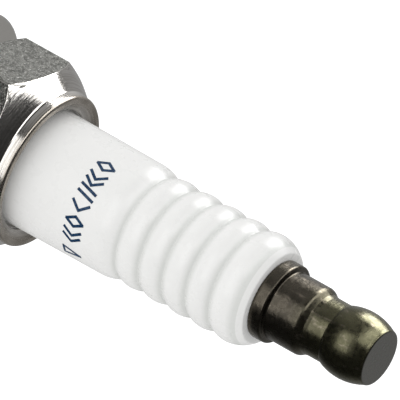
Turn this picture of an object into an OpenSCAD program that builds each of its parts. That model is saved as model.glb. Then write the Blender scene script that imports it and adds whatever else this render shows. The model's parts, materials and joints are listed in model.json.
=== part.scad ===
// Spark plug: 14 mm thread, 16 mm hexagon, resistor type with a fine-wire tip.
// Axis on Z with the terminal up; the origin is the centre of the shell's seat face.

/* [Overall] */
// Height from the seat face to the top of the terminal
height = 50.5; // [46:0.5:62]
// Thread reach, from the seat face to the firing end of the shell
reach = 19; // [17:0.5:26.5]

/* [Terminal post] */
// Length of the post above the ceramic
post_l = 11.4; // [10:0.1:16]
// Largest radius of the push-on bulb and radius of the barrel under it
post_r = 3.2; // [2.9:0.05:4]
// Radius of the neck between the bulb and the barrel
post_neck_r = 2.76; // [2.2:0.02:2.8]
// Radius of the arc that forms the side of the bulb
bulb_arc_r = 5; // [4.5:0.1:7]
// Distance from the top of the post to the widest part of the bulb
bulb_drop = 2.55; // [2:0.05:3.2]
// Distance from the top of the post to the shoulder of the barrel
shoulder_drop = 6.55; // [6:0.05:7.8]
// Rounding of the barrel's shoulder
shoulder_round = 0.55; // [0.2:0.05:0.8]
// Rounding of the edge of the end face
end_round = 0.3; // [0.2:0.05:0.6]
// Thickness of the flange that rests on the ceramic
post_flange_t = 1.3; // [0.9:0.05:1.6]
// How far the flange stands out from the barrel
post_flange_w = 0.48; // [0.3:0.02:0.7]
// Height of the bevel round the front of the flange
post_flange_bevel = 0.3; // [0.1:0.05:0.4]
// Radius of the stem inside the ceramic
stem_r = 1.85; // [1.5:0.05:1.9]
// Depth of each gripping groove at the stem's lower end
stem_groove = 0.25; // [0.15:0.05:0.4]
// Number of gripping grooves
stem_grooves = 3; // [2:1:5]

/* [Insulator] */
// Radius of the ceramic body just under the ribs
ins_r = 5.4; // [4.9:0.05:6.5]
// Growth of that radius down to the collar of the shell
ins_draft = 0.08; // [0:0.01:0.12]
// Radius at the crest of a rib
rib_r = 5.17; // [4.8:0.01:5.6]
// Number of ribs under the end bulge
ribs = 4; // [3:1:5]
// Distance between ribs
rib_pitch = 2.53; // [2.2:0.01:2.8]
// Radius of the arc across a rib
rib_arc_r = 2.2; // [1.8:0.05:3]
// Radius of the arc across the end bulge
bulge_arc_r = 2.8; // [2.4:0.05:3.4]
// Distance from the end of the ceramic to the crest of the end bulge
bulge_drop = 2.05; // [1.6:0.05:2.4]
// Radius at the bottom of a groove
groove_r = 4.84; // [4.5:0.01:4.9]
// Radius of the arc that rounds the body into the last groove
body_arc_r = 3.4; // [2.4:0.1:4]
// Radius of the bore that holds the post, the seals and the resistor
ins_bore_r = 2; // [1.95:0.05:2.4]
// Radius of the bore for the centre electrode
nose_bore_r = 1.2; // [1:0.05:1.4]
// Radius of the nose at its tip
nose_tip_r = 2.35; // [2:0.05:2.6]
// Radius of the nose at its root
nose_root_r = 3.4; // [3:0.05:3.6]
// How far the nose stands out of the shell
nose_out = 1.5; // [0.5:0.1:2.5]
// Depth of the electrode's seat in the ceramic, below the shell's ledge
electrode_seat = 3.4; // [2.6:0.1:4.5]
// Height of the ceramic's widest band, inside the shell
ins_band_h = 6.2; // [5:0.1:7]

/* [Shell] */
// Hexagon size across its flats
hex_af = 16; // [15.8:0.1:20.8]
// Height of the seat flange
seat_h = 3.85; // [2.5:0.05:5]
// Radius of the seat flange
seat_r = 9.85; // [9.3:0.05:11]
// Bevel on both edges of the seat flange
seat_bevel = 0.25; // [0.1:0.05:0.5]
// Height of the crimp neck between the flange and the hexagon
crimp_neck_h = 1.8; // [1.5:0.05:3.5]
// Wall of the crimp neck
crimp_neck_wall = 1.05; // [0.8:0.05:1.3]
// Height of the hexagon's flats at their middle
hex_h = 6.5; // [4:0.1:7.5]
// How much lower the flats end at the corners, under the domed shoulder
corner_drop = 1.15; // [0.8:0.05:1.5]
// How far the corners are rounded off
corner_in = 0.08; // [0.04:0.01:0.15]
// Height of the domed shoulder and collar above the flats
collar_h = 2.6; // [2.2:0.1:3.4]
// Wall of the collar
collar_wall = 0.75; // [0.6:0.05:0.9]
// Thickness of the lip that is rolled in over the packing
lip_t = 0.75; // [0.6:0.05:0.9]
// Rounding of the lip's outer edge
lip_round = 0.55; // [0.3:0.05:0.6]
// Angle of the chamfer under the hexagon from its lower face
hex_chamfer = 30; // [15:1:35]
// How far the chamfer's inner circle lies inside the flats
hex_chamfer_in = 0.1; // [0.05:0.05:0.4]
// Height of the upright part of the collar
collar_upright = 0.55; // [0.3:0.05:0.9]

/* [Thread] */
// Thread diameter
thread_d = 14; // [13.5:0.1:16.8]
// Thread pitch
thread_pitch = 1.25; // [1:0.05:1.5]
// Amount by which the thread is made under its nominal radius
thread_under = 0.03; // [0:0.01:0.08]
// Length of the plain neck under the seat, where the gasket sits
neck_l = 2.6; // [2.4:0.1:3.4]
// Radius of the plain neck
neck_r = 6; // [5.8:0.05:6.3]
// Length of the chamfer that ends the thread
thread_end_chamfer = 1; // [0.5:0.1:1.5]
// Wall between the thread's root and the bore
thread_wall = 1.3; // [1.1:0.05:1.7]
// Width of the inner ledge that carries the ceramic
ledge_w = 0.85; // [0.6:0.05:1.1]
// Depth of the ledge below the seat face
ledge_z = 7; // [6:0.1:9]
// Angle of the ledge from the horizontal
ledge_angle = 30; // [20:1:40]
// Length of the straight land under the ledge
ledge_land = 1.5; // [1:0.1:2.5]
// How far the bore narrows at its mouth
mouth_in = 0.25; // [0.1:0.05:0.4]

/* [Packing] */
// Width of the space for the packing between the ceramic and the shell
pack_w = 0.95; // [0.8:0.05:1.2]
// Height of the pressed talc
talc_h = 2.2; // [1.6:0.1:3.2]
// Thickness of the seat packing washer
packing_t = 0.35; // [0.25:0.05:0.5]

/* [Gasket] */
// Thickness of the uncrushed gasket
gasket_t = 1.7; // [1.4:0.05:2]
// Outer radius of the gasket
gasket_r = 9.6; // [9.2:0.05:10]
// Inner radius of the gasket's upper fold, less than the thread's so that it stays on
gasket_in_r = 6.7; // [6.4:0.05:6.85]
// Gap between the thread and the gasket's lower fold
gasket_clear = 0.2; // [0.1:0.05:0.3]
// Thickness of the folded strip
gasket_strip = 0.4; // [0.3:0.05:0.5]

/* [Electrodes] */
// Radius of the centre electrode
centre_r = 1.15; // [0.95:0.05:1.2]
// Radius of the electrode's head in the bore
head_r = 1.7; // [1.5:0.05:1.8]
// Height of the electrode's head
head_h = 1.6; // [1.2:0.1:2.2]
// Radius of the copper core
core_r = 0.65; // [0.4:0.05:0.75]
// Length of the electrode beyond the ceramic nose, to its shoulder
centre_out = 0.5; // [0.3:0.05:0.8]
// Length of the cone that carries the fine tip
centre_cone = 0.55; // [0.4:0.05:0.8]
// Radius of the fine tip
tip_r = 0.3; // [0.2:0.05:0.4]
// Length of the fine tip
tip_l = 0.6; // [0.4:0.05:0.9]
// Height of the weld bead under the fine tip
weld_h = 0.2; // [0.1:0.05:0.3]
// How far the weld bead flares out from the fine tip
weld_flare = 0.12; // [0.05:0.01:0.2]
// Spark gap
spark_gap = 0.8; // [0.5:0.05:1.1]
// Width of the ground electrode
ground_w = 2.8; // [2.3:0.1:3.2]
// Thickness of the ground electrode
ground_t = 1.3; // [1.1:0.05:1.5]
// Inner radius of the ground electrode's bend
ground_bend = 1.5; // [1:0.1:1.9]
// Length of the ground electrode past the axis
ground_past = 1.2; // [0.8:0.1:1.6]
// Width of the ground electrode at its narrowed end
ground_end_w = 2.1; // [1.8:0.1:2.3]
// Length over which the end narrows
ground_taper = 1.6; // [1:0.1:2.2]
// Radius of the pad on the ground electrode
pad_r = 0.45; // [0.35:0.05:0.6]
// Thickness of that pad
pad_t = 0.3; // [0.2:0.05:0.4]
// How far the pad stands out of the electrode
pad_out = 0.1; // [0.05:0.05:0.15]

/* [Resistor column] */
// Length of the resistor
resistor_l = 8; // [6:0.5:10]
// Length of each glass seal
seal_l = 4.2; // [3:0.1:5]
// How far the stem is sunk into the upper seal
stem_sink = 2.8; // [2:0.1:3]

/* [Fits] */
// Gap between pieces that are pressed or fused together
press_gap = 0.02; // [0.01:0.01:0.04]
// Radial gap between the ceramic and the shell's bore
ceramic_gap = 0.08; // [0.04:0.01:0.12]
// Gap between the rolled lip and the ceramic
lip_gap = 0.25; // [0.1:0.05:0.3]

/* [Hidden] */
$fn = 96;
eps = 0.01;

// Terminal post heights
z_post_top = height;
z_ceramic_top = height - post_l;
z_bulb = height - bulb_drop;
z_shoulder = height - shoulder_drop;
bulb_axis_r = post_r - bulb_arc_r;
post_flange_r = post_r + post_flange_w;
z_flange_bevel = z_ceramic_top + post_flange_t - post_flange_bevel;

// Insulator heights
z_bulge = z_ceramic_top - bulge_drop;
z_last_rib = z_bulge - ribs * rib_pitch;
z_body_round = z_last_rib - rib_pitch / 2 - sqrt(pow(body_arc_r, 2) - pow(body_arc_r - ins_r + groove_r, 2));
groove_run = 0.1;
ins_low_r = ins_r + ins_draft;

// Shell heights and radii
z_hex_low = seat_h + crimp_neck_h;
z_hex_top = z_hex_low + hex_h;
z_lip = z_hex_top + collar_h;
hex_corner_r = hex_af / sqrt(3);
hex_chamfer_r = hex_af / 2 - hex_chamfer_in;
blank_r = hex_corner_r - corner_in;
hex_chamfer_h = (blank_r - hex_chamfer_r) * tan(hex_chamfer);
arch_r = (pow(hex_corner_r / 2, 2) + pow(corner_drop, 2)) / (2 * corner_drop);
z_corner = z_hex_top - corner_drop;
z_collar = z_lip - collar_upright;
pack_r = ins_low_r + pack_w;
collar_r = pack_r + collar_wall;
lip_in_r = ins_low_r + lip_gap;
crimp_neck_r = pack_r + crimp_neck_wall;
flat_turn = 30;

// Packing heights, counted down from the underside of the lip
wire_r = (pack_w - 2 * press_gap) / 2;
z_pack_top = z_lip - lip_t;
z_upper_ring = z_pack_top - wire_r - press_gap;
z_talc_top = z_upper_ring - wire_r - press_gap;
z_talc_low = z_talc_top - talc_h;
z_lower_ring = z_talc_low - wire_r - press_gap;
z_band_top = z_lower_ring - wire_r - press_gap;
z_band_low = z_band_top - ins_band_h;
band_r = pack_r - ceramic_gap;

// Thread and bore below the seat; the form is the depth of a metric thread of pitch 1
thread_form = 0.6134;
thread_major_r = thread_d / 2 - thread_under;
thread_depth = thread_form * thread_pitch;
thread_root_r = thread_major_r - thread_depth;
thread_crest = thread_pitch / 8;
shell_end_in = 0.05;
z_thread_end = -reach + thread_end_chamfer;
thread_turns = floor((-neck_l - z_thread_end) / thread_pitch);
bore_r = thread_root_r - thread_wall;
ledge_r = bore_r - ledge_w;
ledge_drop = ledge_w * tan(ledge_angle);
mouth_r = bore_r - mouth_in;
z_ledge = -ledge_z;
body_low_r = bore_r - ceramic_gap;
packing_shift = packing_t / cos(ledge_angle) + press_gap;
nose_shoulder_r = ledge_r - ceramic_gap;
z_nose_shoulder = z_ledge + packing_shift - (body_low_r - nose_shoulder_r) * tan(ledge_angle);
inner_cone_slope = 0.9;
band_cone_h = (band_r - body_low_r) * inner_cone_slope;
shell_cone_h = (pack_r - bore_r) * inner_cone_slope;

// Nose, centre electrode and ground electrode
z_nose = -reach - nose_out;
z_centre_shoulder = z_nose - centre_out;
z_centre_end = z_centre_shoulder - centre_cone;
z_weld_end = z_centre_end - weld_h;
z_tip = z_weld_end - tip_l;
z_pad = z_tip - spark_gap;
z_ground_in = z_pad - pad_out;
z_ground_out = z_ground_in - ground_t;
ground_x = (mouth_r + thread_root_r) / 2 + ground_t / 2;

// Column in the bore, counted up from the step under the electrode's head
z_step = z_ledge - electrode_seat;
z_head_top = z_step + head_h;
z_seal_low = z_step + press_gap;
z_resistor_low = z_seal_low + seal_l;
z_resistor_top = z_resistor_low + resistor_l;
z_seal_top = z_resistor_top + press_gap + seal_l;
z_stem_low = z_seal_top - stem_sink;
column_r = ins_bore_r - press_gap;
stem_hole_r = stem_r + press_gap;

// A band between two heights, from the axis out to the given radius, in the revolved half-plane
module band(z0, z1, r) {
  translate([0, z0])
    square([r, z1 - z0]);
}

// A trapezium that makes a cone or a taper when revolved
module taper(z0, r0, z1, r1) {
  polygon([[0, z0], [r0, z0], [r1, z1], [0, z1]]);
}

// The part of an arc's disc that lies between two heights and outside the axis
module arc_band(z_arc, r_crest, arc_r, z0, z1) {
  intersection() {
    translate([r_crest - arc_r, z_arc])
      circle(arc_r);
    band(z0, z1, r_crest + eps);
  }
}

// Push-on bulb: a side arc that meets the flat end through a small tangent round
module bulb_profile() {
  round_r = bulb_axis_r + sqrt(pow(bulb_arc_r - end_round, 2) - pow(bulb_drop - end_round, 2));
  z_round = z_post_top - end_round;
  z_meet = z_bulb + (z_round - z_bulb) * bulb_arc_r / (bulb_arc_r - end_round);
  arc_band(z_bulb, post_r, bulb_arc_r, z_shoulder - eps, z_meet);
  band(z_meet - eps, z_post_top, round_r);
  intersection() {
    translate([round_r, z_round])
      circle(end_round);
    band(z_meet - eps, z_post_top, post_r);
  }
}

module terminal_post() {
  groove_pitch = stem_sink / (stem_grooves + 1);
  color([0.30, 0.28, 0.20])
    rotate_extrude() {
      bulb_profile();
      band(z_shoulder - shoulder_round, z_bulb, post_neck_r);
      band(z_shoulder - shoulder_round, z_shoulder, post_r - shoulder_round);
      intersection() {
        translate([post_r - shoulder_round, z_shoulder - shoulder_round])
          circle(shoulder_round);
        band(z_shoulder - shoulder_round, z_shoulder, post_r);
      }
      band(z_ceramic_top, z_shoulder - shoulder_round, post_r);
      band(z_ceramic_top, z_flange_bevel, post_flange_r);
      taper(z_flange_bevel, post_flange_r, z_ceramic_top + post_flange_t, post_flange_r - post_flange_bevel);
      difference() {
        band(z_stem_low, z_ceramic_top, stem_r);
        for (i = [1 : stem_grooves])
          translate([stem_r, z_stem_low + i * groove_pitch])
            circle(stem_groove);
      }
    }
}

module insulator_outside() {
  z_groove_low = z_last_rib - rib_pitch / 2;
  band(z_body_round, z_bulge, groove_r);
  arc_band(z_bulge, rib_r, bulge_arc_r, z_bulge, z_ceramic_top);
  for (i = [0 : ribs])
    arc_band(z_bulge - i * rib_pitch, rib_r, rib_arc_r,
             z_bulge - (i + 0.5) * rib_pitch, z_bulge - (i == 0 ? 0 : i - 0.5) * rib_pitch);
  arc_band(z_body_round, ins_r, body_arc_r, z_body_round, z_groove_low + groove_run);
  taper(z_lip, ins_low_r, z_body_round, ins_r);
  band(z_band_top, z_lip, ins_low_r);
  band(z_band_low, z_band_top, band_r);
  taper(z_band_low - band_cone_h, body_low_r, z_band_low, band_r);
  band(z_ledge + packing_shift, z_band_low - band_cone_h, body_low_r);
  taper(z_nose_shoulder, nose_shoulder_r, z_ledge + packing_shift, body_low_r);
  taper(z_nose_shoulder - ledge_land, nose_root_r, z_nose_shoulder, nose_shoulder_r);
  taper(z_nose, nose_tip_r, z_nose_shoulder - ledge_land, nose_root_r);
}

module insulator() {
  color([0.96, 0.96, 0.95])
    rotate_extrude()
      difference() {
        insulator_outside();
        band(z_step, z_ceramic_top + eps, ins_bore_r);
        band(z_nose - eps, z_step + eps, nose_bore_r);
      }
}

// Rings of the thread: one ridge a turn, with a flat crest and sloping flanks
module thread_ridges() {
  flank = (thread_pitch - 2 * thread_crest) / 2;
  for (i = [0 : thread_turns - 1]) {
    z = -neck_l - (i + 0.5) * thread_pitch;
    polygon([
      [0, z - thread_crest / 2 - flank], [thread_root_r, z - thread_crest / 2 - flank],
      [thread_major_r, z - thread_crest / 2], [thread_major_r, z + thread_crest / 2],
      [thread_root_r, z + thread_crest / 2 + flank], [0, z + thread_crest / 2 + flank]
    ]);
  }
}

module shell_low_outside() {
  band(-neck_l, 0, neck_r);
  taper(-neck_l - eps, thread_root_r, -neck_l, neck_r);
  band(-reach + thread_end_chamfer / 2, -neck_l, thread_root_r);
  taper(-reach, thread_root_r - shell_end_in, -reach + thread_end_chamfer / 2, thread_root_r);
  thread_ridges();
}

module seat_flange() {
  taper(0, seat_r - seat_bevel, seat_bevel, seat_r);
  band(seat_bevel, seat_h - seat_bevel, seat_r);
  taper(seat_h - seat_bevel, seat_r, seat_h, seat_r - seat_bevel);
}

// Crimped collar: an upright ring, then a lip rolled over the packing
module collar_profile() {
  z_round = z_lip - lip_round;
  band(z_hex_low, z_round, collar_r);
  intersection() {
    union() {
      translate([collar_r - lip_round, z_round])
        circle(lip_round);
      band(z_round, z_lip, collar_r - lip_round);
    }
    band(z_round - eps, z_lip, collar_r + eps);
  }
}

// Turned blank of the hexagon: chamfer below, domed shoulder leaning in to the collar above
module hexagon_blank() {
  taper(z_hex_low, hex_chamfer_r, z_hex_low + hex_chamfer_h, blank_r);
  band(z_hex_low + hex_chamfer_h, z_corner, blank_r);
  taper(z_corner, blank_r, z_collar, collar_r);
}

// What is taken off the blank for one flat, with an arched upper end
module flat_cut() {
  z_cut_low = (seat_h + z_hex_low) / 2;
  translate([hex_af / 2, 0, 0])
    rotate([90, 0, 90])
      linear_extrude(hex_corner_r)
        intersection() {
          translate([0, z_hex_top - arch_r])
            circle(arch_r);
          translate([-hex_corner_r, z_cut_low])
            square([2 * hex_corner_r, z_hex_top - z_cut_low + eps]);
        }
}

module shell_bore() {
  z_bevel = z_lip - lip_round;
  taper(z_bevel, lip_in_r, z_lip + eps, collar_r - lip_round);
  band(z_pack_top - eps, z_bevel + eps, lip_in_r);
  band(z_band_low, z_pack_top, pack_r);
  taper(z_band_low - shell_cone_h, bore_r, z_band_low, pack_r);
  band(z_ledge, z_band_low - shell_cone_h + eps, bore_r);
  taper(z_ledge - ledge_drop, ledge_r, z_ledge, bore_r);
  band(z_ledge - ledge_drop - ledge_land, z_ledge - ledge_drop + eps, ledge_r);
  taper(z_ledge - ledge_drop - 2 * ledge_land, mouth_r, z_ledge - ledge_drop - ledge_land, ledge_r);
  band(-reach - eps, z_ledge - ledge_drop - 2 * ledge_land + eps, mouth_r);
}

module metal_shell() {
  color([0.72, 0.72, 0.70])
    difference() {
      rotate_extrude() {
        shell_low_outside();
        seat_flange();
        band(seat_h - eps, z_hex_low + eps, crimp_neck_r);
        hexagon_blank();
        collar_profile();
      }
      for (i = [0 : 5])
        rotate([0, 0, flat_turn + i * 60])
          flat_cut();
      rotate_extrude()
        shell_bore();
    }
}

module lower_glass_seal() {
  neck = z_head_top - z_seal_low;
  color([0.35, 0.33, 0.30])
    rotate_extrude()
      difference() {
        band(z_seal_low, z_seal_low + seal_l - press_gap, column_r);
        band(z_seal_low - eps, z_seal_low + neck + press_gap, head_r + press_gap);
      }
}

module resistor() {
  color([0.16, 0.15, 0.14])
    rotate_extrude()
      band(z_resistor_low, z_resistor_top, column_r);
}

module upper_glass_seal() {
  color([0.35, 0.33, 0.30])
    rotate_extrude()
      difference() {
        band(z_resistor_top + press_gap, z_seal_top, column_r);
        band(z_stem_low - press_gap, z_seal_top + eps, stem_hole_r);
      }
}

module center_electrode() {
  color([0.62, 0.60, 0.56])
    rotate_extrude()
      difference() {
        union() {
          band(z_step + press_gap, z_head_top, head_r);
          band(z_centre_shoulder, z_step + 2 * press_gap, centre_r);
          taper(z_centre_end, tip_r + weld_flare, z_centre_shoulder, centre_r);
        }
        band(z_nose, z_step, core_r + press_gap);
      }
}

module center_electrode_core() {
  color([0.72, 0.45, 0.20])
    rotate_extrude()
      band(z_nose + press_gap, z_step - press_gap, core_r);
}

module tip_weld() {
  color([0.55, 0.53, 0.50])
    rotate_extrude()
      taper(z_weld_end, tip_r, z_centre_end, tip_r + weld_flare);
}

module iridium_tip() {
  color([0.80, 0.80, 0.82])
    rotate_extrude()
      band(z_tip, z_weld_end, tip_r);
}

module talc_packing() {
  color([0.93, 0.92, 0.88])
    rotate_extrude()
      translate([ins_low_r + press_gap, z_talc_low])
        square([pack_w - 2 * press_gap, talc_h]);
}

module packing_ring(z) {
  color([0.60, 0.60, 0.58])
    rotate_extrude()
      translate([ins_low_r + pack_w / 2, z])
        circle(wire_r);
}

module upper_packing_ring() {
  packing_ring(z_upper_ring);
}

module lower_packing_ring() {
  packing_ring(z_lower_ring);
}

// Conical washer between the shell's ledge and the shoulder of the ceramic
module seat_packing() {
  in_r = nose_shoulder_r + press_gap;
  out_r = body_low_r - press_gap;
  slope = tan(ledge_angle);
  rise = packing_t / cos(ledge_angle);
  function ledge_at(r) = z_ledge - (bore_r - r) * slope;
  color([0.66, 0.65, 0.62])
    rotate_extrude()
      polygon([
        [in_r, ledge_at(in_r)], [out_r, ledge_at(out_r)],
        [out_r, ledge_at(out_r) + rise - press_gap], [in_r, ledge_at(in_r) + rise - press_gap]
      ]);
}

// Crush gasket: a strip folded back on itself, open on its inner side; only its upper fold catches the thread
module gasket() {
  fold_r = gasket_t / 2;
  inner_fold_r = fold_r - gasket_strip;
  low_in_r = thread_major_r + gasket_clear;
  color([0.70, 0.70, 0.68])
    rotate_extrude()
      difference() {
        union() {
          translate([gasket_r - fold_r, -fold_r])
            circle(fold_r);
          translate([gasket_in_r, -fold_r])
            square([gasket_r - fold_r - gasket_in_r, fold_r]);
          translate([low_in_r, -gasket_t])
            square([gasket_r - fold_r - low_in_r, fold_r + eps]);
        }
        translate([gasket_r - fold_r, -fold_r])
          circle(inner_fold_r);
        translate([gasket_in_r - eps, -fold_r - inner_fold_r])
          square([gasket_r - fold_r - gasket_in_r + eps, 2 * inner_fold_r]);
      }
}

// Side view of the ground electrode: a leg down from the shell, a quarter bend, then the arm
module ground_profile() {
  bend_out = ground_bend + ground_t;
  translate([ground_x - ground_t, z_ground_out + bend_out])
    square([ground_t, -reach - z_ground_out - bend_out]);
  translate([ground_x - bend_out, z_ground_out + bend_out])
    intersection() {
      difference() {
        circle(bend_out);
        circle(ground_bend);
      }
      translate([0, -bend_out])
        square([bend_out, bend_out]);
    }
  translate([-ground_past, z_ground_out])
    square([ground_x - bend_out + ground_past, ground_t]);
}

module ground_electrode() {
  seat = pad_t - pad_out;
  color([0.60, 0.58, 0.55])
    difference() {
      intersection() {
        translate([0, ground_w / 2, 0])
          rotate([90, 0, 0])
            linear_extrude(ground_w)
              ground_profile();
        translate([0, 0, z_ground_out])
          linear_extrude(-reach - z_ground_out)
            polygon([
              [-ground_past, -ground_end_w / 2], [-ground_past, ground_end_w / 2],
              [-ground_past + ground_taper, ground_w / 2], [ground_x, ground_w / 2],
              [ground_x, -ground_w / 2], [-ground_past + ground_taper, -ground_w / 2]
            ]);
      }
      translate([0, 0, z_ground_in - seat])
        cylinder(h = seat + eps, r = pad_r + press_gap);
    }
}

module ground_electrode_pad() {
  color([0.82, 0.82, 0.80])
    translate([0, 0, z_pad - pad_t])
      cylinder(h = pad_t, r = pad_r);
}

metal_shell();
insulator();
terminal_post();
upper_glass_seal();
resistor();
lower_glass_seal();
center_electrode();
center_electrode_core();
tip_weld();
iridium_tip();
talc_packing();
upper_packing_ring();
lower_packing_ring();
seat_packing();
gasket();
ground_electrode();
ground_electrode_pad();
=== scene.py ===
"""Spark plug: the looks of every piece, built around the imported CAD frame.

All shapes are worked out in millimetres and turned into metres when a mesh is made. The plug's axis is Z,
the terminal is up and the seat face of the shell is at height 0.
"""
import json

import bpy
import numpy as np
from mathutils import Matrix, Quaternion, Vector


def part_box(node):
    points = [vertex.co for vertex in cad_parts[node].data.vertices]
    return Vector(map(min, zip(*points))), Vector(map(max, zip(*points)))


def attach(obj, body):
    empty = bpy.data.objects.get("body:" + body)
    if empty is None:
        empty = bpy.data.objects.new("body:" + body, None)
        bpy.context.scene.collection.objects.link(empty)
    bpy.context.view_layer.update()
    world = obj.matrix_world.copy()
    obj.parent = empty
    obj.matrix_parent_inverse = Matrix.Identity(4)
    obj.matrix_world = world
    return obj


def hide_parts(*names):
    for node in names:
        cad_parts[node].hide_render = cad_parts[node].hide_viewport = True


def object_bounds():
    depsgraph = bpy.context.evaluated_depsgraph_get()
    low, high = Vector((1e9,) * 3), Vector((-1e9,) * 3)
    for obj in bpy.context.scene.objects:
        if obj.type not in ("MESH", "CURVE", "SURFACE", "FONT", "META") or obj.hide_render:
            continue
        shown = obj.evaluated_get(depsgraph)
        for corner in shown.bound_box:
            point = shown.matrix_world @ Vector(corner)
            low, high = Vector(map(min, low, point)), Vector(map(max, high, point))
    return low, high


MM = 0.001
TURN = 2 * np.pi

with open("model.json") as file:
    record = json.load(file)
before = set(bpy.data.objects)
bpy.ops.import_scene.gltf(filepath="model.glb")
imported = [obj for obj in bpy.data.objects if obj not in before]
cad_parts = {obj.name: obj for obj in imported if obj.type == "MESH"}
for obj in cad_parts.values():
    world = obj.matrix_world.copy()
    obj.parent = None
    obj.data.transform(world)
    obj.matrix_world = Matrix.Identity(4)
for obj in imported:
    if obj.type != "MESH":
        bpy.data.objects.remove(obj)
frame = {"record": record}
cad_low, cad_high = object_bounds()


# ---------------------------------------------------------------- sizes, in millimetres
def span(node):
    """Lowest height, highest height and largest radius of a CAD node that is turned about the axis."""
    low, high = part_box(node)
    return low.z / MM, high.z / MM, high.x / MM


shell_foot, shell_lip, seat_r = span("metal_shell")
nose_end, ceramic_top, band_r = span("insulator")
stem_foot, post_top, flange_r = span("terminal_post")
gasket_foot, gasket_head, gasket_r = span("gasket")

mounts = {m["name"]: m for m in frame["record"]["mounts"]}
thread_r = mounts["thread"]["dims"]["r_mm"]
post_r = mounts["terminal"]["dims"]["r_mm"]


# ---------------------------------------------------------------- shape tools
def filleted(corners, radii, steps=6, hold=0.06, closed=False):
    """Outline with rounded corners, as an array (..., points, 2).

    Each corner gives way to an arc that touches both of its sides: the arc starts radius / tan(half the
    corner's angle) before the corner and swings evenly about its centre.  It is cut down where a side is
    too short for it.  One point on the side just beyond each end of the arc keeps the flat beside it flat.
    """
    corners = np.asarray(corners, float)
    radii = np.asarray(radii, float)
    before = np.roll(corners, 1, axis=-2) - corners
    after = np.roll(corners, -1, axis=-2) - corners
    len_before = np.linalg.norm(before, axis=-1)
    len_after = np.linalg.norm(after, axis=-1)
    u = before / len_before[..., None]
    v = after / len_after[..., None]
    half = np.arccos(np.clip((u * v).sum(-1), -1, 1)) / 2
    half = np.clip(half, 1e-3, np.pi / 2 - 1e-4)
    room = 0.45 * np.minimum(len_before, len_after)
    reach = np.minimum(radii / np.tan(half), room)
    radius = reach * np.tan(half)
    towards = u + v
    towards = towards / np.maximum(np.linalg.norm(towards, axis=-1), 1e-9)[..., None]
    centre = corners + towards * (radius / np.sin(half))[..., None]
    start = corners + u * reach[..., None] - centre
    end = corners + v * reach[..., None] - centre
    swing = np.pi - 2 * half
    t = np.linspace(0, 1, steps + 1)
    lead = np.sin((1 - t) * swing[..., None]) / np.sin(swing)[..., None]
    trail = np.sin(t * swing[..., None]) / np.sin(swing)[..., None]
    swept = lead[..., None] * start[..., None, :] + trail[..., None] * end[..., None, :]
    arc = centre[..., None, :] + swept
    gap_before = np.minimum(reach + hold, 0.48 * len_before)
    gap_after = np.minimum(reach + hold, 0.48 * len_after)
    first = corners + u * gap_before[..., None]
    last = corners + v * gap_after[..., None]
    points = np.concatenate([first[..., None, :], arc, last[..., None, :]], axis=-2)
    if not closed:
        points[..., 0, :, :] = corners[..., :1, :]
        points[..., -1, :, :] = corners[..., -1:, :]
    return points.reshape(*points.shape[:-3], -1, 2)


def without_repeats(outline):
    """The outline with points closer than a micrometre to the one before them taken out."""
    step = np.linalg.norm(np.diff(outline, axis=0), axis=1)
    return outline[np.concatenate([[True], step > 1e-3])]


def new_object(name, verts, quads, triangles=()):
    """A mesh object at the origin from arrays of points in millimetres and of face corners."""
    mesh = bpy.data.meshes.new(name)
    four_sided = np.asarray(quads, int).reshape(-1, 4).tolist()
    three_sided = np.asarray(triangles, int).reshape(-1, 3).tolist()
    mesh.from_pydata((np.asarray(verts) * MM).tolist(), [], four_sided + three_sided)
    mesh.polygons.foreach_set("use_smooth", np.ones(len(mesh.polygons), bool))
    mesh.validate()
    mesh.update()
    obj = bpy.data.objects.new(name, mesh)
    bpy.context.scene.collection.objects.link(obj)
    return obj


def grid_faces(rows, cols, wrap_rows, wrap_cols):
    """Quads of a grid whose points are numbered row by row, closed on itself where asked."""
    i = np.arange(rows if wrap_rows else rows - 1)
    j = np.arange(cols if wrap_cols else cols - 1)
    i, j = np.meshgrid(i, j, indexing="ij")
    i2 = (i + 1) % rows
    j2 = (j + 1) % cols
    return np.stack([i * cols + j, i * cols + j2, i2 * cols + j2, i2 * cols + j], axis=-1).reshape(-1, 4)


def tube(name, verts):
    """Skin over a grid of points (rows, around, 3).

    It is a ring closed both ways, or a tube whose first and last rows have shrunk to a point each.
    """
    rows, cols = verts.shape[:2]
    if np.ptp(verts[0], axis=0).max() > 1e-6:
        return new_object(name, verts.reshape(-1, 3), grid_faces(rows, cols, True, True))
    ring = verts[1:-1].reshape(-1, 3)
    quads = grid_faces(rows - 2, cols, False, True)
    j = np.arange(cols)
    j2 = (j + 1) % cols
    foot, head = len(ring), len(ring) + 1
    top_row = (rows - 3) * cols
    low = np.stack([np.full(cols, foot), j2, j], axis=-1)
    high = np.stack([top_row + j, top_row + j2, np.full(cols, head)], axis=-1)
    ends = np.array([verts[0, 0], verts[-1, 0]])
    return new_object(name, np.concatenate([ring, ends]), quads, np.concatenate([low, high]))


def revolved(name, outline, angles):
    """An outline carried round the axis: x = r cos(a), y = r sin(a), z = z.

    The outline is a closed loop of (r, z) that runs upwards on its outer side, or an open one whose two
    ends lie on the axis and become poles.  It may differ from angle to angle: (angles, points, 2).
    """
    outline = np.asarray(outline, float)
    if outline.ndim == 2:
        outline = np.broadcast_to(outline, (len(angles), *outline.shape))
    r, z = outline[..., 0].T, outline[..., 1].T
    return tube(name, np.stack([r * np.cos(angles), r * np.sin(angles), z], axis=-1))


def points_of(obj):
    """Radius, angle in degrees and height of every point of a piece, in millimetres."""
    flat = np.empty(len(obj.data.vertices) * 3, np.float32)
    obj.data.vertices.foreach_get("co", flat)
    x, y, z = flat.reshape(-1, 3).T / MM
    return np.hypot(x, y), np.degrees(np.arctan2(y, x)) % 360, z


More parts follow.
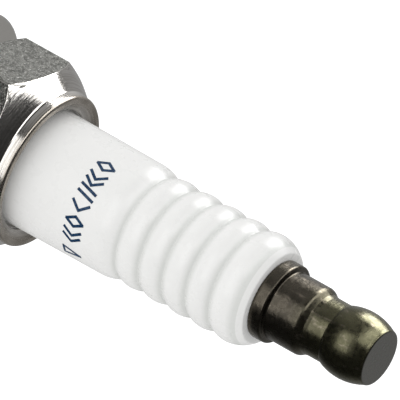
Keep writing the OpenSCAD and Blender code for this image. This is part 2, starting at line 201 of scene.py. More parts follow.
def point_values(obj, name, values):
    """Stores one number for each point of a piece, for its material to read."""
    attribute = obj.data.attributes.new(name, "FLOAT", "POINT")
    attribute.data.foreach_set("value", np.asarray(values, np.float32).ravel())


# ---------------------------------------------------------------- camera
view_azimuth = 92.13
view_elevation = 25.0
view_roll = 119.25
view_distance = 951.7
view_aim = (4.285, 0.157, 28.573)
view_lens = 1000.0


def add_camera():
    """A long lens that looks down the ribs from the terminal's side, with the plug lying aslant."""
    azimuth, elevation = np.radians([view_azimuth, view_elevation])
    level_part = np.cos(elevation)
    back = Vector((level_part * np.cos(azimuth), level_part * np.sin(azimuth), np.sin(elevation)))
    data = bpy.data.cameras.new("studio_camera")
    data.lens = view_lens
    data.sensor_width = 36.0
    data.clip_start = 0.01
    data.clip_end = 20.0
    camera = bpy.data.objects.new("studio_camera", data)
    bpy.context.scene.collection.objects.link(camera)
    camera.rotation_mode = "QUATERNION"
    level = back.to_track_quat("Z", "Y")
    camera.rotation_quaternion = level @ Quaternion((0, 0, 1), np.radians(view_roll))
    camera.location = (Vector(view_aim) + back * view_distance) * MM
    bpy.context.scene.camera = camera


add_camera()


# ---------------------------------------------------------------- metal shell
hex_flat = 8.0
hex_round = 0.35
hex_low, hex_top = 5.65, 12.15
hex_chamfer_r = 7.9
hex_chamfer_slope = np.tan(np.radians(30))
hex_edge_round = 0.12
arch_r = 9.85
dome_r, dome_foot = 9.16, 11.14
dome_bulge = 0.07
dome_ledge = 0.06
dome_edge_round = 0.1
collar_r, dome_head = 7.30, 13.72
collar_top_r = 7.19
crimp_neck_r = 7.48
seat_h = 3.85
seat_foot_in, seat_foot_bevel = 0.12, 0.35
seat_top_in, seat_top_bevel = 0.28, 0.25
seat_edge_round = 0.3
neck_r = 6.0
neck_relief = 0.3
neck_l = 2.6
thread_pitch = 1.25
thread_depth = 0.6134 * thread_pitch
thread_end = 0.5
shell_end_in = 0.05
lip_in_r = 5.75
lip_top_r = 6.6
lip_bevel, lip_t = 0.55, 0.75
lip_round = 0.42
lip_bevel_round = 0.12
pack_r = 6.43
pack_foot, cone_foot = 3.70, 2.33
bore_r = 4.90
ledge_r = 4.05
mouth_r = 4.65
ledge_z = -7.0
ledge_drop, ledge_land = 0.5, 1.5
# roundings that many turned corners share
sharp, eased, soft = 0.05, 0.1, 0.15


def hexagon_angles(flat_steps=28, corner_steps=6):
    """Angles round the shell, packed closely where a hexagon corner is rounded and evenly along each flat."""
    inner = (hex_flat - hex_round) * np.tan(TURN / 12)
    corner_half = TURN / 12 - np.arctan(inner / hex_flat)
    corner = np.linspace(-corner_half, corner_half, corner_steps + 1)
    flat = np.linspace(corner_half, TURN / 6 - corner_half, flat_steps + 1)[1:-1]
    side = np.concatenate([corner, flat])
    return (side + np.arange(6)[:, None] * TURN / 6).ravel()


def hexagon_radius(angles):
    """Distance from the axis to a hexagon whose corners, at 0 and every 60 degrees, are rounded.

    On a flat it is the apothem / cos(angle from the flat's middle); at a corner it is the far crossing with
    a circle of the rounding radius, set in from the corner.
    """
    off = np.abs((angles % (TURN / 6)) - TURN / 12)
    flat = hex_flat / np.cos(off)
    centre = (hex_flat - hex_round) / np.cos(TURN / 12)
    swing = TURN / 12 - off
    under = np.maximum(hex_round ** 2 - (centre * np.sin(swing)) ** 2, 0)
    corner = centre * np.cos(swing) + np.sqrt(under)
    on_flat = hex_flat * np.tan(off) <= (hex_flat - hex_round) * np.tan(TURN / 12)
    return np.where(on_flat, flat, corner)


def thread_rows(angles, per_pitch=14):
    """Heights and radii of a right-hand thread: a ridge with a flat crest that climbs one pitch in a turn.

    The phase is height / pitch less angle / turn, the flank is a trapezium wave with rounded shoulders, and
    the ridge fades out towards both ends of the thread.
    """
    crest_share, flank_share = 0.13, 0.74
    straight, run_out = 0.65, 0.7
    root = thread_r - thread_depth
    low, high = shell_foot + thread_end, -neck_l
    z = np.linspace(low, high, int((high - low) / thread_pitch * per_pitch) + 1)
    phase = (z[None, :] / thread_pitch - angles[:, None] / TURN) % 1.0
    wave = np.abs(phase - 0.5) * 2
    ramp = np.clip((wave - crest_share) / flank_share, 0, 1)
    rounded = ramp * ramp * (3 - 2 * ramp)
    ridge = straight * ramp + (1 - straight) * rounded
    fade = np.clip(np.minimum(z - low, high - z) / (run_out * thread_pitch), 0, 1)
    r = root + thread_depth * ridge * fade[None, :]
    return np.stack([r, np.broadcast_to(z, r.shape)], axis=-1), root


def dome_radius(z):
    """Radius of the turned blank: upright to the foot of the dome, then in to the collar with a slight bulge.

    With t the share of the dome's height, radius = foot + t (head - foot) + 4 bulge t (1 - t).
    """
    t = np.clip((z - dome_foot) / (dome_head - dome_foot), 0, 1)
    return dome_r + t * (collar_r - dome_r) + 4 * dome_bulge * t * (1 - t)


def metal_shell():
    """Shell in one closed skin: thread, seat, neck, hexagon, domed shoulder, rolled lip and stepped bore.

    Every angle has its own outline.  A flat ends above in an arch, height = centre + root of (arch radius
    squared - distance from the flat's middle squared), under a small ledge of the turned dome; below, the
    chamfer's height follows its cone, so the edge runs in the arc that a turned chamfer leaves.
    """
    angles = hexagon_angles()
    hex_r = hexagon_radius(angles)
    thread, root = thread_rows(angles)

    def at(r, z):
        return np.stack([np.broadcast_to(r, hex_r.shape), np.broadcast_to(z, hex_r.shape)], axis=-1)

    chamfer_low = hex_low + (hex_r - hex_chamfer_r) * hex_chamfer_slope
    along_flat = np.sqrt(np.maximum(hex_r ** 2 - hex_flat ** 2, 0))
    arch = hex_top - arch_r + np.sqrt(arch_r ** 2 - along_flat ** 2)
    dome_edge = arch + dome_ledge
    on_dome = np.maximum(arch + 0.25, dome_foot + 0.2)
    dome = []
    for share in np.linspace(0, 0.86, 6):
        z = on_dome + share * (dome_head - on_dome)
        dome.append((at(dome_radius(z), z), 0.3 if share == 0 else 6.0))
    neck_and_seat = [
        (at(root, -neck_l - 0.01), 0.02),
        (at(neck_r, -neck_l + neck_relief), sharp),
        (at(neck_r, 0), eased),
        (at(seat_r - seat_foot_in, 0), soft),
        (at(seat_r, seat_foot_bevel), seat_edge_round),
        (at(seat_r, seat_h - seat_top_bevel), seat_edge_round),
        (at(seat_r - seat_top_in, seat_h), seat_edge_round),
        (at(crimp_neck_r, seat_h), 0.5),
        (at(crimp_neck_r, hex_low - neck_relief), 0.4),
    ]
    hexagon = [
        (at(hex_chamfer_r, hex_low), eased),
        (at(hex_r, chamfer_low), hex_edge_round),
        (at(hex_r, arch), sharp),
        (at(np.maximum(dome_radius(dome_edge), hex_r), dome_edge), dome_edge_round),
    ]
    collar = [
        (at(collar_r, dome_head), 0.5),
        (at(collar_top_r, shell_lip), lip_round),
        (at(lip_top_r, shell_lip), eased),
        (at(lip_in_r, shell_lip - lip_bevel), lip_bevel_round),
        (at(lip_in_r, shell_lip - lip_t), sharp),
    ]
    bore = [
        (at(pack_r, shell_lip - lip_t), 0.02),
        (at(pack_r, pack_foot), eased),
        (at(bore_r, cone_foot), eased),
        (at(bore_r, ledge_z), sharp),
        (at(ledge_r, ledge_z - ledge_drop), sharp),
        (at(ledge_r, ledge_z - ledge_drop - ledge_land), eased),
        (at(mouth_r, ledge_z - ledge_drop - 2 * ledge_land), eased),
        (at(mouth_r, shell_foot), soft),
        (at(root - shell_end_in, shell_foot), soft),
        (at(root, shell_foot + thread_end - 0.01), 0.02),
    ]
    corners_radii = neck_and_seat + hexagon + dome + collar + bore
    corners = np.stack([c for c, _ in corners_radii], axis=-2)
    outline = np.concatenate([thread, filleted(corners, [r for _, r in corners_radii])], axis=-2)
    shell = revolved("shell_body", outline, angles)
    r, angle, z = points_of(shell)
    off = np.radians(np.abs(angle % 60 - 30))
    flat = (np.abs(r * np.cos(off) - hex_flat) < 0.03) & (z > hex_low) & (z < hex_top + 0.01)
    point_values(shell, "flat", flat)
    lip_foot, dome_zone_foot, dome_zone_head = 14.3, 11.0, 14.6
    point_values(shell, "lip", np.clip((z - lip_foot) / 0.25, 0, 1) * (r > 5))
    point_values(shell, "dome", (z > dome_zone_foot) & (z < dome_zone_head) & ~flat)
    point_values(shell, "thread", np.clip((-z - neck_l) / 0.4, 0, 1))
    return shell


shell = metal_shell()


# ---------------------------------------------------------------- ceramic
rib_r = 5.17
rib_arc = 2.2
rib_pitch = 2.53
rib_count = 4
bulge_z = 37.05
bulge_arc = 2.8
groove_r = 4.82
body_r = 5.40
body_low_r = 5.48
body_round_z = 23.85
body_arc = 3.4
ceramic_bore_r = 2.0
nose_bore_r = 1.2
bore_step_z = -10.4
nose_tip_r = 2.35
nose_root_r, nose_root_z = 3.4, -8.57
nose_shoulder_r, nose_shoulder_z = 3.97, -7.07
packed_r, packed_foot = 4.82, -6.58
band_head = 9.9
end_bevel_r, end_bevel_h = 0.17, 0.22


def ribbed_radius(z):
    """Radius of the glazed outside at each height: the soft maximum of the arcs across the ribs.

    Every rib, the end bulge and the rounded end of the body is an arc, crest - arc radius + root of
    (arc radius squared - distance squared).  The soft maximum, k log(sum of exp(radius / k)), rounds the
    grooves between them the way glaze does.
    """
    def arc(centre, crest, radius):
        inside = np.maximum(radius ** 2 - (z - centre) ** 2, 1e-6)
        return crest - radius + np.sqrt(inside)

    parts = [arc(bulge_z - i * rib_pitch, rib_r, rib_arc) for i in range(rib_count + 1)]
    parts[0] = np.where(z > bulge_z, arc(bulge_z, rib_r, bulge_arc), parts[0])
    body = body_r + (body_low_r - body_r) * (body_round_z - z) / (body_round_z - shell_lip)
    parts.append(np.where(z > body_round_z, arc(body_round_z, body_r, body_arc), body))
    softness = 0.035
    return softness * np.log(sum(np.exp((p - groove_r) / softness) for p in parts)) + groove_r


def ceramic():
    """Insulator as one turned skin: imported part, body, ribs, end, bore, nose bore and nose."""
    z = np.linspace(shell_lip - 1.0, ceramic_top - end_bevel_h, 420)
    glazed = np.stack([ribbed_radius(z), z], axis=-1)
    end_r = glazed[-1, 0] - end_bevel_r
    rest = [
        (glazed[-1], 0.0),
        ((end_r, ceramic_top), 0.22),
        ((ceramic_bore_r, ceramic_top), eased),
        ((ceramic_bore_r, bore_step_z), eased),
        ((nose_bore_r, bore_step_z), eased),
        ((nose_bore_r, nose_end), soft),
        ((nose_tip_r, nose_end), 0.3),
        ((nose_root_r, nose_root_z), 0.3),
        ((nose_shoulder_r, nose_shoulder_z), eased),
        ((packed_r, packed_foot), eased),
        ((packed_r, cone_foot), eased),
        ((band_r, pack_foot), eased),
        ((band_r, band_head), eased),
        ((body_low_r, band_head), eased),
        (glazed[0], 0.0),
    ]
    turned = filleted([c for c, _ in rest], [r for _, r in rest])
    outline = without_repeats(np.concatenate([glazed, turned]))
    body = revolved("glazed_ceramic", outline, np.arange(240) * TURN / 240)
    r, _, height = points_of(body)
    # how deep a point sits in a groove between the ribs; the glaze paints shade there by this amount
    depth = np.clip((5.08 - r) / 0.2, 0, 1) * (height > body_round_z) * (height < ceramic_top - 0.5)
    point_values(body, "groove", depth)
    point_values(body, "unglazed", np.clip((9.0 - height) / 2.0, 0, 1))
    return body


insulator = ceramic()


# ---------------------------------------------------------------- terminal
def terminal():
    """Solid terminal as one turned skin: stem, flange, barrel, shoulder, neck, bulb and flat end.

    The side of the bulb is one arc, crest - arc radius + root of (arc radius squared - height squared).
    """
    bulb_z, bulb_arc, neck, stem_r = post_top - 2.55, 5.0, 2.76, 1.85
    flange_head = ceramic_top + 1.3
    z = np.linspace(bulb_z - 1.75, post_top - 0.3, 48)
    bulb = np.stack([post_r - bulb_arc + np.sqrt(bulb_arc ** 2 - (z - bulb_z) ** 2), z], axis=-1)
    shoulder = post_top - 6.5
    low = [
        ((0, stem_foot), 0),
        ((stem_r, stem_foot), 0.2),
        ((stem_r, ceramic_top), sharp),
        ((flange_r, ceramic_top), 0.12),
        ((flange_r, flange_head), 0.35),
        ((post_r, flange_head + 0.03), soft),
        ((post_r, shoulder - 0.45), 0.7),
        ((neck + 0.08, shoulder + 0.1), 0.12),
        ((neck, shoulder + 0.5), 0.3),
        ((neck, bulb_z - 1.86), 0.6),
        (bulb[0], 0),
    ]
    end = [(bulb[-1], 0), ((bulb[-1, 0] - 0.08, post_top), 0.28), ((0, post_top), 0)]
    outline = np.concatenate([
        filleted([c for c, _ in low], [r for _, r in low], steps=8), bulb,
        filleted([c for c, _ in end], [r for _, r in end], steps=8),
    ])
    return revolved("terminal_body", without_repeats(outline), np.arange(200) * TURN / 200)


post = terminal()


# ---------------------------------------------------------------- gasket
def folded_gasket():
    """Crush gasket: one strip folded back on itself, its rounded fold outside and its open side inside."""
    upper_in_r, lower_in_r, strip, fold_in_r = 6.7, 7.17, 0.4, 9.2
    loop = [
        ((gasket_r, gasket_foot), 0.84), ((gasket_r, gasket_head), 0.84), ((upper_in_r, gasket_head), 0.12),
        ((upper_in_r, gasket_head - strip), 0.12), ((fold_in_r, gasket_head - strip), 0.44),
        ((fold_in_r, gasket_foot + strip), 0.44), ((lower_in_r, gasket_foot + strip), 0.12),
        ((lower_in_r, gasket_foot), 0.12),
    ]
    outline = filleted([c for c, _ in loop], [r for _, r in loop], steps=10, closed=True)
    return revolved("gasket_strip", outline, np.arange(180) * TURN / 180)


gasket = folded_gasket()


# ---------------------------------------------------------------- ground electrode
def ground_strap():
    """Ground electrode: a rounded rectangle carried down the leg, round a quarter bend and along the arm.

    The rows follow the middle of the strip; near the arm's end its width narrows, and at both ends the
    section shrinks to a point so that the ends are flat with a rounded edge.
    """
    low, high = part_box("ground_electrode")
    thick, wide, end_wide, narrowing, bend = 1.3, high.y * 2 / MM, 2.1, 1.6, 2.15
    x_leg = high.x / MM - thick / 2
    z_arm = low.z / MM + thick / 2
    x_end = low.x / MM
    leg = np.linspace(shell_foot, z_arm + bend, 12)
    turn = np.linspace(0, np.pi / 2, 18)[1:]
    arm = np.linspace(x_leg - bend, x_end, 30)[1:]
    x = np.concatenate([np.full(len(leg), x_leg), x_leg - bend + bend * np.cos(turn), arm])
    z = np.concatenate([leg, z_arm + bend - bend * np.sin(turn), np.full(len(arm), z_arm)])
    lean = np.concatenate([np.zeros(len(leg)), turn, np.full(len(arm), np.pi / 2)])
    inset = np.array([thick / 2, 0.1, 0.03, 0.0])
    cap = np.array([0.0, 0.0, 0.03, 0.1])
    x = np.concatenate([np.full(4, x[0]), x[1:-1], x_end + cap[::-1]])
    z = np.concatenate([z[0] - cap, z[1:-1], np.full(4, z_arm)])
    lean = np.concatenate([np.zeros(4), lean[1:-1], np.full(4, np.pi / 2)])
    shrink = np.concatenate([inset, np.zeros(len(x) - 8), inset[::-1]])
    width = np.where(lean > 1.57, end_wide + (wide - end_wide) * np.clip((x - x_end) / narrowing, 0, 1), wide)
    half_a, half_b = thick / 2 - shrink, width / 2 - shrink
    half_b[[0, -1]] = 0
    corner = np.minimum(0.22, np.minimum(half_a, half_b) * 0.9)
    quarter = np.linspace(0, np.pi / 2, 6)
    around = (quarter + np.arange(4)[:, None] * np.pi / 2).ravel()
    side_a = np.repeat([1, -1, -1, 1], 6)
    side_b = np.repeat([1, 1, -1, -1], 6)
    a = side_a * (half_a - corner)[:, None] + corner[:, None] * np.cos(around)
    b = side_b * (half_b - corner)[:, None] + corner[:, None] * np.sin(around)
    out_x = x[:, None] + a * np.cos(lean)[:, None]
    out_z = z[:, None] - a * np.sin(lean)[:, None]
    return tube("ground_strap", np.stack([out_x, -b, out_z], axis=-1))


strap = ground_strap()


# ---------------------------------------------------------------- printed marks
mark_foot, mark_head = 20.45, 22.45
mark_shapes = {
    "chevron": [[(-0.5, -1), (0.35, 0), (-0.5, 1)]],
    "lozenge": [[(0, -1), (0.55, 0), (0, 1), (-0.55, 0), (0, -1)]],
    "bars": [[(-0.65, -1), (-0.1, 1)], [(0.1, -1), (0.65, 1)]],
    "triangle": [[(-0.6, -1), (0.6, -1), (0, 1), (-0.6, -1)]],
    "twin": [[(-0.75, -1), (-0.05, 0), (-0.75, 1)], [(0, -1), (0.7, 0), (0, 1)]],
}
mark_places = (
    ("lozenge", 60.5),
    ("twin", 77.0),
    ("bars", 90.5),
    ("chevron", 106.0),
    ("lozenge", 120.5),
    ("twin", 136.0),
    ("triangle", 159.0),
)


def printed_marks(stroke=0.26, ink=0.014, parts=8):
    """Band of plain marks on the glaze: each stroke is a thin closed bar bent to the ceramic's radius.

    A stroke's points lie at start + t (end - start) +- half its width across, laid on the cylinder by
    angle = place + distance along / radius.
    """
    half_h = (mark_head - mark_foot) / 2
    middle = (mark_head + mark_foot) / 2
    radius = body_r + (body_low_r - body_r) * (body_round_z - middle) / (body_round_z - shell_lip)
    t = np.linspace(0, 1, parts + 1)
    verts, faces = [], []
    for shape, place in mark_places:
        for line in mark_shapes[shape]:
            path = np.array(line) * (0.85, half_h - stroke / 2)
            for start, end in zip(path[:-1], path[1:]):
                along = end - start
                along = along / np.linalg.norm(along)
                across = np.array([-along[1], along[0]]) * stroke / 2
                tips = np.array([start - along * stroke * 0.3, end + along * stroke * 0.3])
                middle_line = tips[0] + t[:, None] * (tips[1] - tips[0])
                sides = np.stack([middle_line - across, middle_line + across], axis=1)
                angle = np.radians(place) + sides[..., 0] / radius
                r = np.array([radius - 0.02, radius + ink])[None, None, :]
                x, y = r * np.cos(angle)[..., None], r * np.sin(angle)[..., None]
                z = np.broadcast_to(middle + sides[..., 1][..., None], x.shape)
                bar = np.stack([x, y, z], axis=-1)[:, [0, 1, 1, 0], [1, 1, 0, 0]]
                base = sum(len(v) for v in verts)
                ring = grid_faces(parts + 1, 4, False, True)[:, ::-1] + base
                first_end = np.arange(4)
                ends = np.array([first_end, first_end[::-1] + parts * 4]) + base
                verts.append(bar.reshape(-1, 3))
                faces += [ring, ends]
    marks = new_object("printed_marks", np.concatenate(verts), np.concatenate(faces))
    marks.data.polygons.foreach_set("use_smooth", np.zeros(len(marks.data.polygons), bool))
    return marks


marks = printed_marks()


# ---------------------------------------------------------------- materials
class Look:
    """A node material being put together, with short words for the nodes it needs."""

    def __init__(self, name, colour, metallic=0.0, roughness=0.5):
        self.material = bpy.data.materials.new(name)
        self.material.use_nodes = True
        self.tree = self.material.node_tree
        self.shader = self.tree.nodes["Principled BSDF"]
        self.place = self.tree.nodes.new("ShaderNodeTexCoord").outputs["Object"]
        self.give(self.shader, "Base Color", (*colour, 1))
        self.give(self.shader, "Metallic", metallic)
        self.give(self.shader, "Roughness", roughness)

    def give(self, node, socket, value):
        """Joins another node's output to a socket, or sets the socket's own value."""
        target = node.inputs[socket]
        if isinstance(value, bpy.types.NodeSocket):
            self.tree.links.new(value, target)
        else:
            target.default_value = value

    def node(self, kind, inputs=(), **settings):
        made = self.tree.nodes.new(kind)
        for key, value in settings.items():
            setattr(made, key, value)
        for socket, value in dict(inputs).items():
            self.give(made, socket, value)
        return made

    def stretched(self, x, y, z):
        """Object coordinates in millimetres, drawn out differently along each axis."""
        scale = (x / MM, y / MM, z / MM)
        return self.node("ShaderNodeMapping", {"Vector": self.place, "Scale": scale}).outputs[0]

    def noise(self, size, detail=3.0, stretch=(1, 1, 1), distortion=0.0):
        """Smooth noise whose features are about the given size in millimetres."""
        where = self.stretched(*(k / size for k in stretch))
        made = self.node("ShaderNodeTexNoise", {"Vector": where, "Scale": 1.0, "Detail": detail})
        self.give(made, "Distortion", distortion)
        return made.outputs[0]

    def between(self, value, low, high, to_low=0.0, to_high=1.0):
        """The value drawn from one range to another, held at its ends and eased."""
        made = self.node("ShaderNodeMapRange", interpolation_type="SMOOTHSTEP")
        for socket, given in (("Value", value), ("From Min", low), ("From Max", high), ("To Min", to_low),
                              ("To Max", to_high)):
            self.give(made, socket, given)
        return made.outputs[0]

    def math(self, operation, first, second=0.0):
        made = self.node("ShaderNodeMath", operation=operation)
        self.give(made, 0, first)
        self.give(made, 1, second)
        return made.outputs[0]

    def mixed(self, factor, first, second):
        """Colours blended by a factor."""
        made = self.node("ShaderNodeMix", data_type="RGBA")
        sockets = [i for i in made.inputs if i.enabled]
        for target, given in zip(sockets, (factor, first, second)):
            if isinstance(given, bpy.types.NodeSocket):
                self.tree.links.new(given, target)
            else:
                target.default_value = given if isinstance(given, float) else (*given, 1)
        return next(o for o in made.outputs if o.enabled)

    def stored(self, name):
        return self.node("ShaderNodeAttribute", attribute_name=name).outputs["Fac"]

    def height(self):
        """Height along the plug's axis in millimetres."""
        return self.node("ShaderNodeSeparateXYZ", {0: self.stretched(1, 1, 1)}).outputs[2]

    def bump(self, height, depth, under=None):
        """Relief of the given depth in millimetres, laid over another relief."""
        made = self.node("ShaderNodeBump", {"Height": height, "Distance": depth * MM})
        if under is not None:
            self.give(made, "Normal", under)
        return made.outputs[0]

    def finish(self, **sockets):
        for socket, value in sockets.items():
            self.give(self.shader, socket.replace("_", " "), value)
        return self.material


def plated_steel():
    """Bright plating: mottled flats, a finely turned dome, a browned lip and a darker thread."""
    look = Look("plated_steel", (0.6, 0.6, 0.58), metallic=1.0)
    flat, lip, dome, thread = (look.stored(n) for n in ("flat", "lip", "dome", "thread"))
    coarse = look.noise(0.5, detail=4.0)
    fine = look.noise(0.13, detail=3.0)
    tone = look.between(look.math("ADD", coarse, look.math("MULTIPLY", fine, 0.8)), 0.72, 1.08)
    flats = look.mixed(tone, (0.11, 0.11, 0.10), (0.36, 0.36, 0.335))
    glints = look.between(fine, 0.60, 0.70)
    flats = look.mixed(look.math("MULTIPLY", glints, 0.5), flats, (0.88, 0.87, 0.84))
    smooth = look.mixed(look.noise(2.5), (0.64, 0.62, 0.58), (0.72, 0.70, 0.66))
    rings = look.noise(0.09, detail=2.0, stretch=(0.02, 0.02, 1))
    browned = look.mixed(look.between(rings, 0.35, 0.65), (0.30, 0.27, 0.23), (0.50, 0.46, 0.41))
    turned = look.mixed(look.between(rings, 0.35, 0.65), (0.50, 0.48, 0.45), (0.66, 0.64, 0.61))
    colour = look.mixed(dome, smooth, turned)
    colour = look.mixed(flat, colour, flats)
    colour = look.mixed(lip, colour, browned)
    colour = look.mixed(look.math("MULTIPLY", thread, 0.35), colour, (0.40, 0.38, 0.35))
    rough = look.between(fine, 0.3, 0.7, 0.10, 0.18)
    rough = look.math("ADD", rough, look.math("MULTIPLY", flat, look.between(coarse, 0.3, 0.7, 0.22, 0.08)))
    rough = look.math("ADD", rough, look.math("MULTIPLY", lip, 0.12))
    pits = look.bump(look.math("MULTIPLY", coarse, flat), 0.05)
    marks = look.bump(look.math("MULTIPLY", rings, look.math("MAXIMUM", dome, lip)), 0.006, under=pits)
    return look.finish(Base_Color=colour, Roughness=rough, Normal=marks)


def glaze():
    """White glazed alumina: painted shade in the grooves, a few specks, a clear coat; bare on the nose."""
    look = Look("white_glaze", (0.86, 0.86, 0.85), roughness=0.2)
    groove, bare = look.stored("groove"), look.stored("unglazed")
    body = look.mixed(look.noise(4.0), (0.775, 0.775, 0.765), (0.815, 0.815, 0.80))
    # painted shade: the colour is darkened and cooled in the grooves, where shade falls
    shaded = look.mixed(look.math("MULTIPLY", groove, 0.6), body, (0.60, 0.615, 0.59))
    cells = look.node("ShaderNodeTexVoronoi", {"Vector": look.stretched(0.3, 0.3, 0.3), "Scale": 1.0})
    speck = look.between(cells.outputs["Distance"], 0.018, 0.03, 1.0, 0.0)
    spotted = look.mixed(look.math("MULTIPLY", speck, 0.6), shaded, (0.45, 0.41, 0.35))
    colour = look.mixed(bare, spotted, (0.84, 0.81, 0.75))
    glossy = look.between(look.noise(1.2), 0.3, 0.7, 0.25, 0.33)
    rough = look.math("ADD", glossy, look.math("MULTIPLY", bare, 0.45))
    ripple = look.bump(look.noise(4.0, detail=0.0), 0.002)
    return look.finish(Base_Color=colour, Roughness=rough, Normal=ripple, Specular_IOR_Level=0.3)


def heat_tint():
    """Steel browned in the furnace: olive bulb, darker brown barrel, worn streaks and a rubbed end."""
    look = Look("heat_tinted_steel", (0.18, 0.16, 0.1), metallic=1.0)
    z = look.height()
    up = look.between(z, ceramic_top + 3.0, post_top - 4.5)
    dark = look.mixed(look.noise(1.3), (0.05, 0.046, 0.036), (0.115, 0.10, 0.08))
    olive = look.mixed(look.noise(1.0, detail=4.0), (0.068, 0.066, 0.038), (0.135, 0.128, 0.082))
    colour = look.mixed(up, dark, olive)
    worn = look.between(look.noise(0.5, detail=5.0, stretch=(1, 1, 0.35)), 0.60, 0.74)
    colour = look.mixed(look.math("MULTIPLY", worn, 0.5), colour, (0.36, 0.31, 0.25))
    end = look.between(z, post_top - 0.06, post_top - 0.01)
    colour = look.mixed(end, colour, (0.19, 0.187, 0.172))
    rough = look.between(look.noise(0.4, detail=4.0), 0.3, 0.7, 0.22, 0.34)
    relief = look.bump(look.noise(0.35, detail=4.0), 0.012)
    rings = look.bump(look.noise(0.12, stretch=(0.02, 0.02, 1)), 0.004, under=relief)
    return look.finish(Base_Color=colour, Roughness=rough, Normal=rings)


def metal(name, dark, light, rough, size=0.4, depth=0.006, stretch=(1, 1, 1)):
    """Plain metal whose tone, gloss and relief wander a little."""
    look = Look(name, light, metallic=1.0)
    grain = look.noise(size, detail=4.0, stretch=stretch)
    colour = look.mixed(look.between(grain, 0.3, 0.7), dark, light)
    gloss = look.between(grain, 0.3, 0.7, rough - 0.06, rough + 0.06)
    return look.finish(Base_Color=colour, Roughness=gloss, Normal=look.bump(grain, depth))


def mineral(name, dark, light, rough, size=0.3, depth=0.02):
    """Pressed or fused powder: a speckled, dull surface."""
    look = Look(name, light)
    grain = look.noise(size, detail=5.0)
    colour = look.mixed(look.between(grain, 0.3, 0.7), dark, light)
    gloss = look.between(grain, 0.3, 0.7, rough - 0.08, rough + 0.08)
    return look.finish(Base_Color=colour, Roughness=gloss, Normal=look.bump(grain, depth))


def ink():
    """Navy ink fired onto the glaze, a little uneven."""
    look = Look("navy_ink", (0.01, 0.04, 0.12))
    cover = look.between(look.noise(0.35, detail=3.0), 0.3, 0.7)
    colour = look.mixed(cover, (0.004, 0.026, 0.075), (0.008, 0.048, 0.115))
    return look.finish(Base_Color=colour, Roughness=look.between(cover, 0.0, 1.0, 0.22, 0.34))


nickel = metal("nickel_alloy", (0.42, 0.40, 0.37), (0.58, 0.56, 0.52), 0.32, stretch=(1, 1, 0.2))
precious = metal("precious_metal", (0.62, 0.62, 0.64), (0.76, 0.76, 0.78), 0.25, size=0.1)
soft_steel = metal("soft_steel", (0.44, 0.43, 0.41), (0.58, 0.57, 0.55), 0.38)
seal_glass = mineral("seal_glass", (0.16, 0.13, 0.10), (0.30, 0.25, 0.20), 0.5)

pieces = (
    (shell, "plug", "metal_shell", "shell_plated_steel", plated_steel()),
    (insulator, "plug", "insulator", "glazed_ceramic", glaze()),
    (post, "plug", "terminal_post", "terminal_heat_tinted", heat_tint()),
    (strap, "plug", "ground_electrode", "nickel_alloy", nickel),
    (marks, "plug", None, "glazed_ceramic", ink()),
    (gasket, "gasket", "gasket", "gasket_plated_steel",
     metal("gasket_plating", (0.56, 0.55, 0.52), (0.72, 0.71, 0.68), 0.22, size=0.8)),
)
for piece, body, node, slot, material in pieces:
    piece.data.materials.append(material)
    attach(piece, body)
    if node:
        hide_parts(node)

kept = {
    "upper_glass_seal": seal_glass,
    "lower_glass_seal": seal_glass,
    "resistor": mineral("resistor_glass", (0.05, 0.05, 0.05), (0.11, 0.105, 0.10), 0.6),
    "center_electrode": nickel,
    "center_electrode_core": metal("drawn_copper", (0.62, 0.32, 0.17), (0.78, 0.45, 0.26), 0.3),
    "tip_weld": metal("weld_bead", (0.30, 0.28, 0.26), (0.46, 0.44, 0.41), 0.35, size=0.12, depth=0.01),
    "iridium_tip": precious,
    "ground_electrode_pad": precious,
    "talc_packing": mineral("pressed_talc", (0.78, 0.77, 0.72), (0.90, 0.89, 0.85), 0.85),
    "upper_packing_ring": soft_steel,
    "lower_packing_ring": soft_steel,
    "seat_packing": soft_steel,
}
for node, material in kept.items():
    mesh = bpy.data.objects[node].data
    mesh.materials.clear()
    mesh.materials.append(material)


# ---------------------------------------------------------------- studio
def floor():
    """Plain pale floor far larger than the view, kept out of the plating's reflections."""
    size = 6.0
    z = cad_low.z - 0.0005
    mesh = bpy.data.meshes.new("studio_floor")
    corners = [(-size, -size, z), (size, -size, z), (size, size, z), (-size, size, z)]
    mesh.from_pydata(corners, [], [(0, 1, 2, 3)])
    obj = bpy.data.objects.new("studio_floor", mesh)
    bpy.context.scene.collection.objects.link(obj)
    look = Look("floor_paint", (0.95, 0.95, 0.95))
    tone = look.mixed(look.noise(400.0), (0.94, 0.94, 0.94), (0.96, 0.96, 0.96))
    paint = look.finish(Base_Color=tone, Roughness=0.9, Emission_Color=tone, Emission_Strength=0.4)
    mesh.materials.append(paint)
    obj.visible_glossy = False


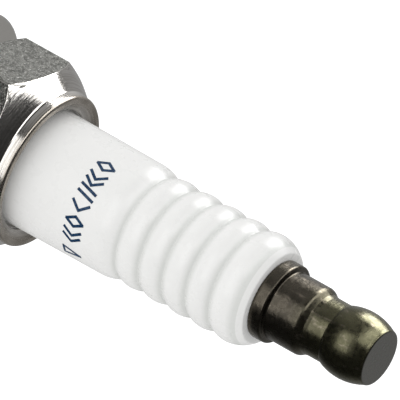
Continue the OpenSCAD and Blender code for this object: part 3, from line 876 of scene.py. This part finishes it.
def softbox(name, place, aim, size, brightness):
    """Rectangular lamp of an even brightness, pointed at a spot on the plug; it shows only in reflections."""
    data = bpy.data.lights.new(name, "AREA")
    data.shape = "RECTANGLE"
    data.size, data.size_y = size[0] * MM, size[1] * MM
    data.energy = brightness * np.pi * data.size * data.size_y
    lamp = bpy.data.objects.new(name, data)
    bpy.context.scene.collection.objects.link(lamp)
    lamp.location = Vector(place) * MM
    lamp.rotation_mode = "QUATERNION"
    lamp.rotation_quaternion = (Vector(place) - Vector(aim)).to_track_quat("Z", "Y")
    lamp.visible_camera = False
    lamp.visible_diffuse = False


def surroundings():
    """Even white room for the matt surfaces, and a dim one for reflections.

    The dim room is greyer low on the +X side and behind.
    """
    world = bpy.data.worlds.new("studio")
    world.use_nodes = True
    tree = world.node_tree

    def node(kind, **settings):
        made = tree.nodes.new(kind)
        for key, value in settings.items():
            setattr(made, key, value)
        return made

    def between(value, low, high, to_low, to_high):
        made = node("ShaderNodeMapRange", interpolation_type="SMOOTHSTEP")
        tree.links.new(value, made.inputs["Value"])
        for socket, given in (("From Min", low), ("From Max", high), ("To Min", to_low), ("To Max", to_high)):
            made.inputs[socket].default_value = given
        return made.outputs[0]

    def math(operation, first, second):
        made = node("ShaderNodeMath", operation=operation)
        for socket, given in zip(made.inputs, (first, second)):
            if isinstance(given, bpy.types.NodeSocket):
                tree.links.new(given, socket)
            else:
                socket.default_value = given
        return made.outputs[0]

    direction = node("ShaderNodeSeparateXYZ")
    tree.links.new(node("ShaderNodeTexCoord").outputs["Generated"], direction.inputs[0])
    card = math("MULTIPLY", between(direction.outputs[0], 0.2, 0.8, 0.0, 0.55),
                between(direction.outputs[2], -0.42, -0.1, 1.0, 0.0))
    behind = between(direction.outputs[1], -0.8, -0.3, 0.30, 0.0)
    dim = math("ADD", math("ADD", card, behind), 0.035)
    glossy = node("ShaderNodeLightPath").outputs["Is Glossy Ray"]
    level = math("ADD", math("MULTIPLY", glossy, dim), math("MULTIPLY", math("SUBTRACT", 1.0, glossy), 0.93))
    background = tree.nodes["Background"]
    background.inputs["Color"].default_value = (1, 1, 1, 1)
    tree.links.new(level, background.inputs["Strength"])
    bpy.context.scene.world = world


floor()
softbox("front_softbox", (-20, 118, 8), (0, 6, 20), (130, 62), 2.0)
softbox("side_softbox", (347, -83, 5), (0, 0, 25), (210, 190), 12.0)
softbox("high_softbox", (325, -15, 150), (0, 0, 13), (370, 140), 3.0)
softbox("corner_softbox", (176, 210, 130), (0, 0, 13), (300, 105), 3.2)
surroundings()
bpy.context.scene.view_settings.view_transform = "Standard"
